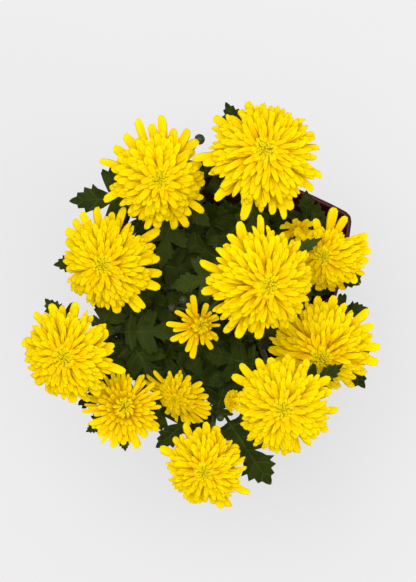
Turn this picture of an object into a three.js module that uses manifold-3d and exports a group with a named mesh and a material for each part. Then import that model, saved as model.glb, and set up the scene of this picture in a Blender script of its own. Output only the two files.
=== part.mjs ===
// A bunch of yellow chrysanthemums standing in a square-mouthed glazed jar.
// Millimetres, +Z up. The origin is the centre of the jar's foot, on the surface that it stands on.
import * as THREE from "three";
import { mergeVertices } from "three/addons/utils/BufferGeometryUtils.js";
import Module from "manifold-3d";

const wasm = await Module();
wasm.setup();

const deg = THREE.MathUtils.degToRad;
const UP = new THREE.Vector3(0, 0, 1);

// Fits
const GAP = 0.3; // clearance between pieces that touch

// Jar: half widths are from the axis to the middle of a side
const JAR_HEIGHT = 190;
const FOOT_HALF_WIDTH = 54;
const MOUTH_HALF_WIDTH = 97;
const JAR_WALL = 5;
const JAR_FLOOR = 8;
const JAR_TURN = 27.3; // degrees from +X to the first corner
const SIDE_BOW = 12; // degrees between a side's chord and its tangent at the corner
const FLARE = 1.7; // how late up the jar the wall spreads: 1 is a straight taper
const WATER_LEVEL = 105;

// Stems
const STEM_RADIUS = 2.8;
const SHOOT_RADIUS = 1.7;
const STALK_RADIUS = 1.1; // of a bud's stalk
const STEM_SIDES = 8;
const STEM_STEPS = 10; // straight lengths that a stem is made of
const SHOOT_STEPS = 5;
const FOOT_LIFT = 1.6; // of a stem's middle over the floor, for its slanting end
const FOOT_SPREAD = 0.2; // a stem's distance from the axis at the floor, as a share of its bloom's
const MOUTH_SPREAD = 0.52; // and at the neck
const NECK_HEIGHT = 200;
const NECK_LENGTH = 34; // straight stretch under a bloom
const SHOOT_BEND = 0.35; // share of a side shoot that runs straight up to its bloom
const CALYX_RADIUS = 6.5;
const SMALL_CALYX_RADIUS = 3.6;
const CALYX_HEIGHT = 6;

// Blooms, by number. at is the middle of the widest ring of petals; tilt is how far the face leans
// from straight up and the compass direction that it leans to, both in degrees.
const BLOOMS = [
  { at: [-68, 82, 326], radius: 47, tilt: [11, -50] },
  { at: [21, 99, 337], radius: 51, tilt: [9, 75] },
  { at: [-110, 10, 303], radius: 45, tilt: [15, 208] },
  { at: [18, -5, 362], radius: 50, tilt: [21, -40] },
  { at: [78, 21, 300], radius: 40, tilt: [24, -130] },
  { at: [73, -62, 290], radius: 49, tilt: [26, -97] },
  { at: [38, -111, 334], radius: 45, tilt: [6, -110] },
  { at: [-27, -167, 292], radius: 40, tilt: [11, -112] },
  { at: [-144, -68, 302], radius: 46, tilt: [14, -144] },
  { at: [-100, -118, 270], radius: 36, tilt: [12, 57] },
];

// Small blooms on side shoots: from is the main stem's number and the height where the shoot leaves it.
const SIDE_BLOOMS = [
  { at: [-50, -107, 256], radius: 24, tilt: [34, 215], from: [10, 205] },
  { at: [-33, -44, 290], radius: 27, tilt: [10, 0], from: [4, 222] },
  { at: [-3, -110, 290], radius: 11, tilt: [50, 170], from: [7, 238] },
  { at: [54, 40, 276], radius: 15, tilt: [28, 130], from: [5, 222] },
];

// Buds: at is a bud's middle.
const BUDS = [
  { at: [-32, 116, 312], radius: 4.6, from: [1, 262] },
  { at: [-57, -29, 268], radius: 3.6, from: [12, 252] },
  { at: [-47, -22, 277], radius: 3.8, from: [12, 269] },
  { at: [-14, -127, 262], radius: 3.4, from: [8, 222] },
];

// Leaves: on is the stem and height where on it, bearing the compass direction that the leaf points to,
// rise the slope that its stalk starts with and droop how far the midrib turns down by the tip.
const LEAVES = [
  { on: 1, height: 252, bearing: 184, length: 86, rise: 24, droop: 28 },
  { on: 1, height: 246, bearing: -98, length: 62, rise: 22, droop: 30 },
  { on: 2, height: 290, bearing: 117, length: 62, rise: 10, droop: 18 },
  { on: 2, height: 270, bearing: 166, length: 60, rise: 16, droop: 20 },
  { on: 2, height: 248, bearing: -118, length: 56, rise: 20, droop: 20 },
  { on: 3, height: 268, bearing: 187, length: 56, rise: 10, droop: 14 },
  { on: 3, height: 226, bearing: 44, length: 62, rise: 22, droop: 24 },
  { on: 3, height: 226, bearing: -100, length: 54, rise: 26, droop: 28 },
  { on: 4, height: 330, bearing: 21, length: 66, rise: 2, droop: 8 },
  { on: 4, height: 238, bearing: 150, length: 68, rise: 20, droop: 22 },
  { on: 5, height: 250, bearing: -48, length: 46, rise: 14, droop: 22 },
  { on: 5, height: 228, bearing: 73, length: 44, rise: 34, droop: 30 },
  { on: 6, height: 238, bearing: 11, length: 50, rise: 28, droop: 26 },
  { on: 6, height: 246, bearing: -55, length: 72, rise: 8, droop: 26 },
  { on: 7, height: 311, bearing: 31, length: 58, rise: 5, droop: 8 },
  { on: 7, height: 232, bearing: 205, length: 58, rise: 22, droop: 26 },
  { on: 8, height: 224, bearing: -57, length: 84, rise: 28, droop: 36 },
  { on: 8, height: 218, bearing: 223, length: 72, rise: 30, droop: 30 },
  { on: 8, height: 204, bearing: 144, length: 50, rise: 38, droop: 34 },
  { on: 9, height: 262, bearing: 128, length: 50, rise: 12, droop: 20 },
  { on: 9, height: 232, bearing: 92, length: 66, rise: 28, droop: 26 },
  { on: 9, height: 240, bearing: 2, length: 64, rise: 16, droop: 26 },
  { on: 10, height: 249, bearing: 212, length: 34, rise: -4, droop: 20 },
  { on: 10, height: 244, bearing: -84, length: 32, rise: 0, droop: 20 },
  { on: 5, height: 214, bearing: -22, length: 66, rise: 30, droop: 24 },
  { on: 3, height: 214, bearing: 140, length: 66, rise: 12, droop: 42 },
];

// Leaf outline, one side, as shares of the leaf's length from the stalk's end: [along, out]
const LEAF_OUTLINE = [
  [0.0, 0.017],
  [0.24, 0.017],
  [0.28, 0.1],
  [0.3, 0.18],
  [0.38, 0.2],
  [0.44, 0.09],
  [0.52, 0.23],
  [0.61, 0.25],
  [0.65, 0.1],
  [0.76, 0.17],
  [0.83, 0.15],
  [0.91, 0.06],
];
const LEAF_THICKNESS = 1.1;
const LEAF_FOLD = 0.16; // rise of the blade's sides for each millimetre out from the midrib

// Bloom outline, as shares of its radius: [out, up] from the top of the calyx
const BLOOM_WIDEST = 0.24;
const BLOOM_OUTLINE = [
  [0.32, 0.08],
  [1.0, BLOOM_WIDEST],
  [0.9, 0.48],
  [0.56, 0.69],
  [0, 0.78],
];
const PETAL_TIPS = 14; // scallops round a big bloom's edge
const SMALL_PETAL_TIPS = 10;
const SCALLOP = 0.12;

const colour = (hex, roughness) => new THREE.MeshStandardMaterial({ color: hex, roughness, metalness: 0 });
const GLAZE = colour(0x3a0a0c, 0.25);
const WATER = colour(0xb9c8c4, 0.05);
const STEM_GREEN = colour(0x4a5a24, 0.6);
const LEAF_GREEN = colour(0x2c3a14, 0.55);
const PETAL_YELLOW = colour(0xf9d402, 0.5);
const BUD_GREEN = colour(0x5a6a34, 0.6);

const model = new THREE.Group();

// ---- solids ----

// A closed geometry as a manifold-3d solid, for joining and cutting.
function solidOf(geometry) {
  const bare = geometry.clone();
  for (const name of Object.keys(bare.attributes)) {
    if (name !== "position") bare.deleteAttribute(name);
  }
  const merged = mergeVertices(bare, 1e-3);
  return new wasm.Manifold(
    new wasm.Mesh({
      numProp: 3,
      vertProperties: merged.attributes.position.array,
      triVerts: new Uint32Array(merged.index.array),
    }),
  );
}

function geometryOf(solid) {
  const mesh = solid.getMesh();
  const geometry = new THREE.BufferGeometry();
  geometry.setAttribute("position", new THREE.BufferAttribute(mesh.vertProperties, 3));
  geometry.setIndex(new THREE.BufferAttribute(mesh.triVerts, 1));
  geometry.computeVertexNormals();
  return geometry;
}

function addMesh(name, geometry, material) {
  const mesh = new THREE.Mesh(geometry, material);
  mesh.name = name;
  model.add(mesh);
  return mesh;
}

// A tube of the stem's many sides along a curve, closed at both ends.
function tube(curve, radius, steps) {
  const section = new THREE.Shape();
  for (let i = 0; i < STEM_SIDES; i++) {
    const turn = ((i + 0.5) / STEM_SIDES) * 2 * Math.PI;
    section[i ? "lineTo" : "moveTo"](radius * Math.cos(turn), radius * Math.sin(turn));
  }
  section.closePath();
  return new THREE.ExtrudeGeometry(section, { steps, bevelEnabled: false, extrudePath: curve });
}

// A profile of [out, up] points, on the axis at both ends, turned about +Z.
function turned(profile, segments) {
  const points = profile.map(([out, up]) => new THREE.Vector2(out, up));
  return new THREE.LatheGeometry(points, segments).rotateX(Math.PI / 2);
}

function placed(geometry, at, axis) {
  const turn = new THREE.Quaternion().setFromUnitVectors(UP, axis);
  return geometry.applyQuaternion(turn).translate(at.x, at.y, at.z);
}

// ---- jar and water ----

// Distance from the axis to a side that bows outwards, for a side of half width 1,
// at an angle from the side's middle.
function bowedSide(angle) {
  const bow = deg(SIDE_BOW);
  const corner = 1 / (Math.SQRT1_2 + (Math.SQRT1_2 / Math.sin(bow)) * (1 - Math.cos(bow)));
  const arc = (corner * Math.SQRT1_2) / Math.sin(bow);
  const centre = 1 - arc;
  return centre * Math.cos(angle) + Math.sqrt(arc ** 2 - (centre * Math.sin(angle)) ** 2);
}

// Places round one side, in degrees from its middle: close together at the softened corners.
const SIDE_PLACES = [-45, -42.5, -36, -24, -12, 0, 12, 24, 36, 42.5];
const CORNER_SOFTENING = 0.985;

// A turned profile pushed out to the jar's square plan with bowed sides.
function squared(profile) {
  const steps = SIDE_PLACES.length;
  const geometry = turned(profile, 4 * steps);
  const position = geometry.attributes.position;
  const vertex = new THREE.Vector3();
  for (let i = 0; i < position.count; i++) {
    vertex.fromBufferAttribute(position, i);
    const out = Math.hypot(vertex.x, vertex.y);
    if (out < 1e-6) continue;
    const turn = Math.atan2(vertex.y, vertex.x) / (2 * Math.PI);
    const step = (Math.round(turn * 4 * steps) + 4 * steps) % (4 * steps);
    const place = SIDE_PLACES[step % steps];
    const quarter = Math.floor(step / steps);
    const softened = Math.abs(place) === 45 ? CORNER_SOFTENING : 1;
    const reach = out * softened * bowedSide(deg(place));
    const angle = deg(JAR_TURN + 45 + place + 90 * quarter);
    position.setXYZ(i, reach * Math.cos(angle), reach * Math.sin(angle), vertex.z);
  }
  return geometry;
}

// Half width of the jar's outside at a height.
function jarHalfWidth(height) {
  const share = Math.max(0, height) / JAR_HEIGHT;
  return FOOT_HALF_WIDTH + (MOUTH_HALF_WIDTH - FOOT_HALF_WIDTH) * share ** FLARE;
}

const WALL_HEIGHTS = [0.1, 0.3, 0.5, 0.68, 0.84, 0.95];
const FOOT_BEVEL = 2.5;
const LIP_ROUND = 1.5;

function addJar() {
  const heights = WALL_HEIGHTS.map((share) => share * JAR_HEIGHT);
  const outside = heights.map((height) => [jarHalfWidth(height), height]);
  const inside = heights.map((height) => [jarHalfWidth(height) - JAR_WALL, height]).reverse();
  const profile = [
    [0, 0],
    [FOOT_HALF_WIDTH - FOOT_BEVEL, 0],
    [FOOT_HALF_WIDTH, FOOT_BEVEL],
    ...outside,
    [MOUTH_HALF_WIDTH, JAR_HEIGHT - LIP_ROUND],
    [MOUTH_HALF_WIDTH - LIP_ROUND, JAR_HEIGHT],
    [MOUTH_HALF_WIDTH - JAR_WALL + LIP_ROUND, JAR_HEIGHT],
    [MOUTH_HALF_WIDTH - JAR_WALL, JAR_HEIGHT - LIP_ROUND],
    ...inside,
    [FOOT_HALF_WIDTH - JAR_WALL - FOOT_BEVEL, JAR_FLOOR],
    [0, JAR_FLOOR],
  ];
  addMesh("jar", squared(profile), GLAZE);
}

function addWater(stemCurves) {
  const bottom = JAR_FLOOR + GAP;
  const side = (height) => [jarHalfWidth(height) - JAR_WALL - GAP, height];
  const levels = WALL_HEIGHTS.map((share) => share * JAR_HEIGHT);
  const heights = levels.filter((height) => height < WATER_LEVEL - 4);
  const profile = [
    [0, bottom],
    [FOOT_HALF_WIDTH - JAR_WALL - FOOT_BEVEL - GAP, bottom],
    ...heights.map(side),
    [side(WATER_LEVEL)[0] - GAP, WATER_LEVEL],
    [0, WATER_LEVEL],
  ];
  let water = solidOf(squared(profile));
  for (const curve of stemCurves) {
    const foot = curve.getPoint(0);
    const slant = curve.getTangent(0).multiplyScalar(2 * STEM_RADIUS);
    const end = new THREE.LineCurve3(foot.clone().sub(slant), foot.clone().add(slant));
    water = water.subtract(solidOf(tube(curve, STEM_RADIUS + GAP, STEM_STEPS)));
    water = water.subtract(solidOf(tube(end, STEM_RADIUS + GAP, 1)));
  }
  addMesh("water", geometryOf(water), WATER);
}

// ---- stems ----

// The way a bloom faces.
function facing([lean, bearing]) {
  const side = Math.sin(deg(lean));
  const turn = deg(bearing);
  return new THREE.Vector3(side * Math.cos(turn), side * Math.sin(turn), Math.cos(deg(lean)));
}

// Where a bloom's petals meet its calyx.
function seatOf(bloom) {
  return new THREE.Vector3(...bloom.at).addScaledVector(facing(bloom.tilt), -BLOOM_WIDEST * bloom.radius);
}

// From the jar's floor, out through the neck and up to the bloom.
function stemCurve(bloom) {
  const seat = seatOf(bloom);
  const axis = facing(bloom.tilt);
  const end = seat.clone().addScaledVector(axis, -GAP);
  const foot = new THREE.Vector3(FOOT_SPREAD * seat.x, FOOT_SPREAD * seat.y, JAR_FLOOR + FOOT_LIFT);
  const neck = new THREE.Vector3(MOUTH_SPREAD * seat.x, MOUTH_SPREAD * seat.y, NECK_HEIGHT);
  const low = foot.clone().lerp(neck, 0.5);
  const bend = end.clone().addScaledVector(axis, -NECK_LENGTH);
  return new THREE.CatmullRomCurve3([foot, low, neck, bend, end], false, "catmullrom", 0.5);
}

// A side shoot or bud stalk, from the skin of its stem and up to its end.
function shootCurve(stem, height, radius, end, axis) {
  const { point } = pointAtHeight(stem.line, height);
  const bend = end.clone().addScaledVector(axis, -SHOOT_BEND * point.distanceTo(end));
  const out = bend.clone().sub(point).normalize();
  const start = branchStart(stem, height, out, radius, radius);
  return new THREE.QuadraticBezierCurve3(start, bend, end);
}

// The point of a stem's middle line at a height, with the way that the stem runs there.
function pointAtHeight(line, height) {
  const next = line.findIndex((point) => point.z > height);
  const below = line[next - 1];
  const above = line[next];
  const point = below.clone().lerp(above, (height - below.z) / (above.z - below.z));
  return { point, way: above.clone().sub(below).normalize() };
}

// Where a branch that goes the way out leaves its stem, so that its square end just clears the skin.
function branchStart(stem, height, out, halfWidth, halfDepth) {
  const { point, way } = pointAtHeight(stem.line, height);
  const square = out.clone().addScaledVector(way, -out.dot(way));
  const across = square.length();
  square.normalize();
  const side = UP.clone().cross(out).normalize();
  const lift = out.clone().cross(side);
  const reach = Math.hypot(halfWidth * side.dot(square), halfDepth * lift.dot(square));
  return point.addScaledVector(out, (stem.radius + GAP + reach) / across);
}

// The green cup under a bloom, grown from the end of its stem.
function calyx(end, axis, radius, stemRadius) {
  const profile = [
    [0, -CALYX_HEIGHT],
    [0.8 * stemRadius, -CALYX_HEIGHT],
    [0.75 * radius, -0.6 * CALYX_HEIGHT],
    [radius, 0],
    [0, 0],
  ];
  return placed(turned(profile, 10), end, axis);
}

function addStem(name, curve, radius, steps, calyxRadius) {
  const end = curve.getPoint(1);
  const axis = curve.getTangent(1);
  const stem = solidOf(tube(curve, radius, steps));
  const cup = solidOf(calyx(end, axis, calyxRadius, radius));
  addMesh(name, geometryOf(stem.add(cup)), STEM_GREEN);
  return { curve, line: curve.getSpacedPoints(steps), radius };
}

// ---- blooms and buds ----

function addBloom(name, bloom, calyxRadius, tips) {
  const profile = [
    [0, 0],
    [calyxRadius, 0],
    ...BLOOM_OUTLINE.map(([out, up]) => [out * bloom.radius, up * bloom.radius]),
  ];
  const geometry = turned(profile, 2 * tips);
  const position = geometry.attributes.position;
  for (let i = 0; i < position.count; i++) {
    const x = position.getX(i);
    const y = position.getY(i);
    if (Math.hypot(x, y) < 0.85 * bloom.radius) continue;
    const between = Math.round((Math.atan2(y, x) / Math.PI) * tips) % 2 !== 0;
    const share = between ? 1 - SCALLOP : 1;
    position.setXYZ(i, share * x, share * y, position.getZ(i));
  }
  const mesh = addMesh(name, geometry, PETAL_YELLOW);
  mesh.position.copy(seatOf(bloom));
  mesh.quaternion.setFromUnitVectors(UP, facing(bloom.tilt));
}

function addBud(name, bud, stem) {
  const middle = new THREE.Vector3(...bud.at);
  const { point } = pointAtHeight(stem.line, bud.from[1]);
  const axis = middle.clone().sub(point).normalize().lerp(UP, 0.6).normalize();
  const seat = middle.clone().addScaledVector(axis, -bud.radius);
  const curve = shootCurve(stem, bud.from[1], STALK_RADIUS, seat, axis);
  const ball = [
    [0, -1],
    [0.6, -0.8],
    [1, -0.1],
    [0.8, 0.6],
    [0, 1],
  ];
  const head = turned(ball.map(([out, up]) => [out * bud.radius, (up + 0.9) * bud.radius]), 10);
  const solid = solidOf(tube(curve, STALK_RADIUS, 4)).add(solidOf(placed(head, seat, axis)));
  addMesh(name, geometryOf(solid), BUD_GREEN);
}

// ---- leaves ----

// The flat leaf bent along an arc and folded along its midrib. Its stalk starts at the origin and it
// points to +X.
function leafGeometry({ length, rise, droop }) {
  const outline = [
    ...LEAF_OUTLINE.map(([along, out]) => new THREE.Vector2(along * length, -out * length)),
    new THREE.Vector2(length, 0),
    ...LEAF_OUTLINE.map(([along, out]) => new THREE.Vector2(along * length, out * length)).reverse(),
  ];
  const flat = { depth: LEAF_THICKNESS, steps: 1, bevelEnabled: false };
  const geometry = new THREE.ExtrudeGeometry(new THREE.Shape(outline), flat);
  const start = deg(rise);
  const turnPerMm = deg(droop) / length;
  const position = geometry.attributes.position;
  for (let i = 0; i < position.count; i++) {
    const slope = start - turnPerMm * position.getX(i);
    const lift = position.getZ(i) - LEAF_THICKNESS / 2 + LEAF_FOLD * Math.abs(position.getY(i));
    const along = (Math.sin(start) - Math.sin(slope)) / turnPerMm;
    const up = (Math.cos(slope) - Math.cos(start)) / turnPerMm;
    position.setXYZ(i, along - lift * Math.sin(slope), position.getY(i), up + lift * Math.cos(slope));
  }
  return geometry;
}

function addLeaf(name, leaf, stem) {
  const out = new THREE.Vector3(1, 0, 0)
    .applyAxisAngle(new THREE.Vector3(0, 1, 0), -deg(leaf.rise))
    .applyAxisAngle(UP, deg(leaf.bearing));
  const stalk = LEAF_OUTLINE[0][1] * leaf.length;
  const mesh = addMesh(name, leafGeometry(leaf), LEAF_GREEN);
  mesh.position.copy(branchStart(stem, leaf.height, out, stalk, LEAF_THICKNESS / 2));
  mesh.rotation.z = deg(leaf.bearing);
}

// ---- the whole bunch ----

addJar();

const stems = BLOOMS.map((bloom, i) => {
  addBloom(`flower_head_${i + 1}`, bloom, CALYX_RADIUS, PETAL_TIPS);
  return addStem(`stem_${i + 1}`, stemCurve(bloom), STEM_RADIUS, STEM_STEPS, CALYX_RADIUS);
});

addWater(stems.map((stem) => stem.curve));

SIDE_BLOOMS.forEach((bloom, i) => {
  const number = BLOOMS.length + i + 1;
  const axis = facing(bloom.tilt);
  const end = seatOf(bloom).addScaledVector(axis, -GAP);
  const stem = stems[bloom.from[0] - 1];
  const curve = shootCurve(stem, bloom.from[1], SHOOT_RADIUS, end, axis);
  addBloom(`flower_head_${number}`, bloom, SMALL_CALYX_RADIUS, SMALL_PETAL_TIPS);
  stems.push(addStem(`side_shoot_${number}`, curve, SHOOT_RADIUS, SHOOT_STEPS, SMALL_CALYX_RADIUS));
});

BUDS.forEach((bud, i) => addBud(`bud_${i + 1}`, bud, stems[bud.from[0] - 1]));

LEAVES.forEach((leaf, i) => addLeaf(`leaf_${i + 1}`, leaf, stems[leaf.on - 1]));

export default model;
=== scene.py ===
# %% [markdown]
# # A bunch of yellow chrysanthemums in a glazed jar
# The bunch is ten tall stems with a large double bloom each, four small blooms on side shoots, a few
# buds and many lobed leaves, standing in water in a dark red jar with a square mouth.
# The solid model gives every place and size. Here each solid is dressed with the real shapes:
# petals one by one, leaves with lobes and veins, round stems and a glazed jar.

# %% Load the solid model
import math
import random

import bpy
import numpy as np
from mathutils import Matrix, Vector


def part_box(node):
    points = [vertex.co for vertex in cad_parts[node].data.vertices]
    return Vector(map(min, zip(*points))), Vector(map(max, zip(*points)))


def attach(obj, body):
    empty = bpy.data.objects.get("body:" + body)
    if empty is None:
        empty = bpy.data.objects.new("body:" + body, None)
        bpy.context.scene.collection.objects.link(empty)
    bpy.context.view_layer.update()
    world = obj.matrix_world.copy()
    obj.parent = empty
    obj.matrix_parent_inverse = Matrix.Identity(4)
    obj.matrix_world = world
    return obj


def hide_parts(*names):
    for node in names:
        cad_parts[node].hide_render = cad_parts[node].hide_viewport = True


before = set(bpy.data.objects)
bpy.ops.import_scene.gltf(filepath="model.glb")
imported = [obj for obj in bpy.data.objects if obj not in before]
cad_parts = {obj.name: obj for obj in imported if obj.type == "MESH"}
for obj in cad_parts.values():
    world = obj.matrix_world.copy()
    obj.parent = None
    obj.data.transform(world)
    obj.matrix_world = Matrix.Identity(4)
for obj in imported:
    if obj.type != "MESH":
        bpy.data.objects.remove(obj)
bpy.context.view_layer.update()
rng = random.Random(11)
UP = Vector((0, 0, 1))

# %% [markdown]
# ## The camera
# The bunch is seen from straight above, from 1.65 m over the table. A wide lens from close by would
# swell the high blooms, so a long lens stands further off. It stands a little to one side of the
# jar's axis, because the bunch leans that way.

# %% Camera
CAMERA_PLACE = (-0.025, -0.0142, 1.65)
bpy.ops.object.camera_add(location=CAMERA_PLACE, rotation=(0, 0, 0))
camera = bpy.context.object
camera.name = "camera"
camera.data.sensor_width = 36
camera.data.lens = 96.5
camera.data.clip_start = 0.05
bpy.context.scene.camera = camera
print("camera at", CAMERA_PLACE, "lens", camera.data.lens)

# %% [markdown]
# ## Small helpers
# Operators act on whatever is selected, so each step starts by selecting nothing. What repeats, such
# as a petal, is modelled once and copied. Linked copies would share one mesh, so each copy gets a mesh
# of its own, which can be moved and mapped by itself.

# %% Helpers for selecting, copying, joining and settling
def select_nothing():
    bpy.ops.object.select_all(action="DESELECT")


def select_only(*objects):
    select_nothing()
    for piece in objects:
        piece.select_set(True)
    bpy.context.view_layer.objects.active = objects[0]


def fresh_copy(original):
    piece = original.copy()
    piece.data = original.data.copy()
    bpy.context.collection.objects.link(piece)
    return piece


def joined(name, objects):
    select_only(*objects)
    bpy.ops.object.join()
    piece = bpy.context.object
    piece.name = name
    piece.data.name = name
    bpy.ops.object.transform_apply(location=True, rotation=True, scale=True)
    return piece


def smooth(piece):
    select_only(piece)
    bpy.ops.object.shade_smooth()


def finish_piece(piece, material, slot, *stands_for):
    piece.data.materials.clear()
    piece.data.materials.append(material)
    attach(piece, "root")
    if stands_for:
        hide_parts(*stands_for)


# %% [markdown]
# A solid's own vertices say where its piece goes, so no place has to be typed in twice. A stem's middle
# line is found by cutting the solid with level planes, and taking the middle of each cut.

# %% Measuring the solids
def corners_of(name):
    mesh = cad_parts[name].data
    places = np.empty(3 * len(mesh.vertices))
    mesh.vertices.foreach_get("co", places)
    return places.reshape(-1, 3)


def triangles_of(name):
    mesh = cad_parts[name].data
    mesh.calc_loop_triangles()
    rows = np.empty(3 * len(mesh.loop_triangles), dtype=np.int64)
    mesh.loop_triangles.foreach_get("vertices", rows)
    return corners_of(name)[rows.reshape(-1, 3)]


def cut_at(name, height):
    triangles = triangles_of(name)
    found = []
    for first, second in ((0, 1), (1, 2), (2, 0)):
        a = triangles[:, first]
        b = triangles[:, second]
        crossing = (a[:, 2] - height) * (b[:, 2] - height) < 0
        a = a[crossing]
        b = b[crossing]
        share = (height - a[:, 2]) / (b[:, 2] - a[:, 2])
        found.append(a + share[:, None] * (b - a))
    return np.vstack(found)


def centre_at(name, height):
    cut = cut_at(name, height)
    middle = (cut.min(axis=0) + cut.max(axis=0)) / 2
    return Vector((middle[0], middle[1], height))


# %% [markdown]
# ## Finishes
# Every finish is made of nodes. They could be wired one by one, but dozens of links are hard to read. A
# small function joins maths nodes instead, so that a pattern reads like a sum.

# %% Node helpers
def new_finish(name, roughness):
    material = bpy.data.materials.new(name)
    material.use_nodes = True
    tree = material.node_tree
    shader = tree.nodes["Principled BSDF"]
    shader.inputs["Roughness"].default_value = roughness
    return material, tree, shader


def maths(tree, operation, first, second=None, third=None):
    node = tree.nodes.new("ShaderNodeMath")
    node.operation = operation
    for socket, value in zip(node.inputs, (first, second, third)):
        if value is None:
            continue
        if isinstance(value, (int, float)):
            socket.default_value = value
        else:
            tree.links.new(value, socket)
    return node.outputs[0]


def blend_colours(tree, share, first, second):
    node = tree.nodes.new("ShaderNodeMix")
    node.data_type = "RGBA"
    for socket, value in ((node.inputs[0], share), (node.inputs[6], first), (node.inputs[7], second)):
        if isinstance(value, (int, float)):
            socket.default_value = value
        elif isinstance(value, tuple):
            socket.default_value = (*value, 1)
        else:
            tree.links.new(value, socket)
    return node.outputs[2]


def ramp(tree, share, *stops):
    node = tree.nodes.new("ShaderNodeValToRGB")
    tree.links.new(share, node.inputs[0])
    while len(node.color_ramp.elements) < len(stops):
        node.color_ramp.elements.new(0.5)
    for element, (place, colour) in zip(node.color_ramp.elements, stops):
        element.position = place
        element.color = (*colour, 1)
    return node.outputs[0]


def noise(tree, vector, scale, detail, roughness=0.5):
    node = tree.nodes.new("ShaderNodeTexNoise")
    node.inputs["Scale"].default_value = scale
    node.inputs["Detail"].default_value = detail
    node.inputs["Roughness"].default_value = roughness
    tree.links.new(vector, node.inputs["Vector"])
    return node.outputs[0]


def object_place(tree):
    return tree.nodes.new("ShaderNodeTexCoord").outputs["Object"]


def map_sides(tree, name):
    node = tree.nodes.new("ShaderNodeUVMap")
    node.uv_map = name
    split = tree.nodes.new("ShaderNodeSeparateXYZ")
    tree.links.new(node.outputs[0], split.inputs[0])
    return split.outputs[0], split.outputs[1]


def bump(tree, shader, height, strength, distance):
    node = tree.nodes.new("ShaderNodeBump")
    node.inputs["Strength"].default_value = strength
    node.inputs["Distance"].default_value = distance
    tree.links.new(height, node.inputs["Height"])
    tree.links.new(node.outputs[0], shader.inputs["Normal"])


# %% [markdown]
# ## The petals' finish
# A petal is a thin, satin, slightly see-through sheet. It is a deeper yellow low down and a clear lemon
# yellow at the tip, and its foot is deepened to orange as painted shade of the crevices where the feet
# lie among other petals. Fine darker lines along it are painted shade too, for the dark gaps between
# narrower petals, and they rib it a little. The petals in the bloom's eye are a little green and are
# painted darker for the shade in the eye's hollow. Just outside the eye lies a ring of painted orange
# shade, where the crevice round the eye is, and chance makes some petals warmer than the rest. One flat
# yellow would melt a bloom into a blob, and a finish for each petal would never end. So one finish
# serves them all and reads two maps. Petal gives the place on one petal, across and along. Place gives
# how far the petal is from the bloom's eye, and one chance number for each petal.

# %% Petal yellow
# Greenish yellow of the eye's petals, painted darker than they are as shade in the eye's hollow.
SHADED_EYE_GREEN = (0.74, 0.68, 0.006)
# Orange of the painted shade ring round the eye, also the warmer tone that chance gives some petals.
SHADE_AND_WARM_ORANGE = (0.97, 0.62, 0.0)
# Painted shade: the darker lines along each petal, for the gaps between narrower petals.
STREAK_SHADE_YELLOW = (0.92, 0.56, 0.0)
# How far out the painted shade ring round the eye lies.
SHADE_RING = 0.3
LINE_WAVES = 31.0
PETAL_GLOW = 0.36


def let_light_through(tree, shader, colour, share):
    glow = tree.nodes.new("ShaderNodeBsdfTranslucent")
    tree.links.new(colour, glow.inputs["Color"])
    mix = tree.nodes.new("ShaderNodeMixShader")
    mix.inputs[0].default_value = share
    tree.links.new(shader.outputs[0], mix.inputs[1])
    tree.links.new(glow.outputs[0], mix.inputs[2])
    tree.links.new(mix.outputs[0], tree.nodes["Material Output"].inputs[0])


def petal_finish():
    material, tree, shader = new_finish("petal_yellow", 0.42)
    across, along = map_sides(tree, "Petal")
    ring, chance = map_sides(tree, "Place")
    # Painted shade: the petal's yellow runs to orange at its foot, for the crevices where the feet lie.
    body = ramp(
        tree,
        along,
        (0.0, (0.93, 0.46, 0.0)),
        (0.45, (0.96, 0.66, 0.0)),
        (0.78, (0.98, 0.8, 0.0)),
        (1.0, (1.0, 0.87, 0.0)),
    )
    outside_eye = maths(tree, "MINIMUM", maths(tree, "MULTIPLY_ADD", ring, 8.0, 0.15), 1.0)
    greened = blend_colours(tree, outside_eye, SHADED_EYE_GREEN, body)
    # Painted shade ring just outside the eye, plus a warmer tone for some petals by chance.
    off_ring = maths(tree, "ABSOLUTE", maths(tree, "SUBTRACT", ring, SHADE_RING))
    ring_shade = maths(tree, "MAXIMUM", maths(tree, "MULTIPLY_ADD", off_ring, -5.0, 1.0), 0.0)
    shade_and_warmth = maths(tree, "MULTIPLY_ADD", ring_shade, 0.45, maths(tree, "MULTIPLY", chance, 0.25))
    toned = blend_colours(tree, shade_and_warmth, greened, SHADE_AND_WARM_ORANGE)
    # The wave draws the painted shade lines in the colour and ribs the petal through the bump.
    stripe = maths(tree, "SINE", maths(tree, "MULTIPLY", across, LINE_WAVES))
    streak_shade = maths(tree, "MULTIPLY_ADD", stripe, 0.1, 0.1)
    colour = blend_colours(tree, streak_shade, toned, STREAK_SHADE_YELLOW)
    tree.links.new(colour, shader.inputs["Base Color"])
    shader.inputs["Specular IOR Level"].default_value = 0.03
    bump(tree, shader, stripe, 0.25, 0.0004)
    let_light_through(tree, shader, colour, PETAL_GLOW)
    return material


PETAL_YELLOW = petal_finish()
print("finish", PETAL_YELLOW.name, "nodes", len(PETAL_YELLOW.node_tree.nodes))

# %% [markdown]
# ## The leaves' finish
# A chrysanthemum's leaf is a dull dark green with a paler midrib and paler side veins, slightly
# puckered between them. Veins could be modelled as ridges, but they are too fine for that. The map
# called Leaf runs along the leaf and from its midrib out to its edge, and its lines follow the side
# veins, so a vein is only a narrow band at an even spacing along it. The map called Chance holds one
# number for each leaf, which makes a few of them a paler, younger green.

# %% Leaf green
VEINS_ALONG = 6.5
YOUNG_GREEN = (0.06, 0.085, 0.012)
VEIN_GREEN = (0.085, 0.12, 0.018)
LEAF_GLOW = 0.15


def band(tree, distance, sharpness):
    """1 on a line, falling to 0 a little way off it."""
    off = maths(tree, "MINIMUM", maths(tree, "MULTIPLY", distance, sharpness), 1.0)
    return maths(tree, "SUBTRACT", 1.0, off)


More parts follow.
